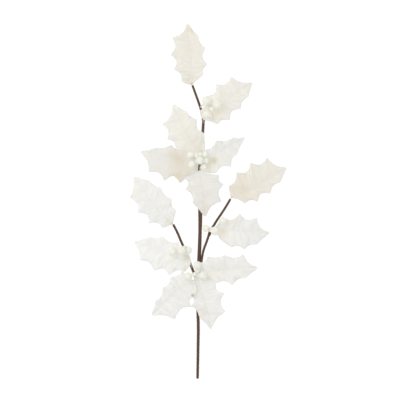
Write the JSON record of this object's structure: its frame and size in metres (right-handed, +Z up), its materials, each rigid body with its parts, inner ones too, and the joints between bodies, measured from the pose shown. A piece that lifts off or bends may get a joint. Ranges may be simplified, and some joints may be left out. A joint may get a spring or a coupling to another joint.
{
  "type": "artificial holly branch",
  "caption": "Artificial white holly branch lying flat: spiny die-cut fabric leaves and matte berry bunches on wire stems wound in brown paper tape.",
  "frame": {"origin": "centre of the bounding box, on the surface that the branch lies on", "axes": "+Y along the branch towards the top leaf, +X to the right seen from above, +Z up"},
  "size_m": [0.314, 0.7113, 0.0462],
  "materials": {
    "leaf_cloth": "matte off-white cloth with pressed veins and raw cut edges",
    "berry_foam": "matte cream coating on round foam, on tan stalks",
    "stem_tape": "matte brown paper tape wound in a spiral",
    "leaf_wire": "thin steel wire covered with cream paper",
    "bare_wire": "dull grey wire"
  },
  "bodies": {
    "root": {"top_leaf": "leaf_cloth", "top_leaf_wire": "leaf_wire", "upper_right_leaf": "leaf_cloth", "upper_right_leaf_wire": "leaf_wire", "upper_cluster_back_leaf": "leaf_cloth", "upper_cluster_back_leaf_wire": "leaf_wire", "upper_cluster_left_leaf": "leaf_cloth", "upper_cluster_left_leaf_wire": "leaf_wire", "upper_cluster_right_leaf": "leaf_cloth", "upper_cluster_right_leaf_wire": "leaf_wire", "upper_cluster_front_leaf": "leaf_cloth", "upper_cluster_front_leaf_wire": "leaf_wire", "left_mid_leaf": "leaf_cloth", "left_mid_leaf_wire": "leaf_wire", "right_mid_leaf": "leaf_cloth", "right_mid_leaf_wire": "leaf_wire", "right_lower_leaf": "leaf_cloth", "right_lower_leaf_wire": "leaf_wire", "left_lower_leaf": "leaf_cloth", "left_lower_leaf_wire": "leaf_wire", "lower_cluster_right_leaf": "leaf_cloth", "lower_cluster_right_leaf_wire": "leaf_wire", "lower_cluster_left_leaf": "leaf_cloth", "lower_cluster_left_leaf_wire": "leaf_wire", "lower_cluster_front_leaf": "leaf_cloth", "lower_cluster_front_leaf_wire": "leaf_wire", "upper_right_berries": "berry_foam", "upper_cluster_berries": "berry_foam", "right_side_berries": "berry_foam", "left_side_berries": "berry_foam", "lower_cluster_berries": "berry_foam", "main_stem": "stem_tape", "main_stem_core_wire": "bare_wire", "left_side_stem": "stem_tape", "left_side_stem_core_wire": "bare_wire", "right_side_stem": "stem_tape", "right_side_stem_core_wire": "bare_wire"}
  },
  "joints": []
}
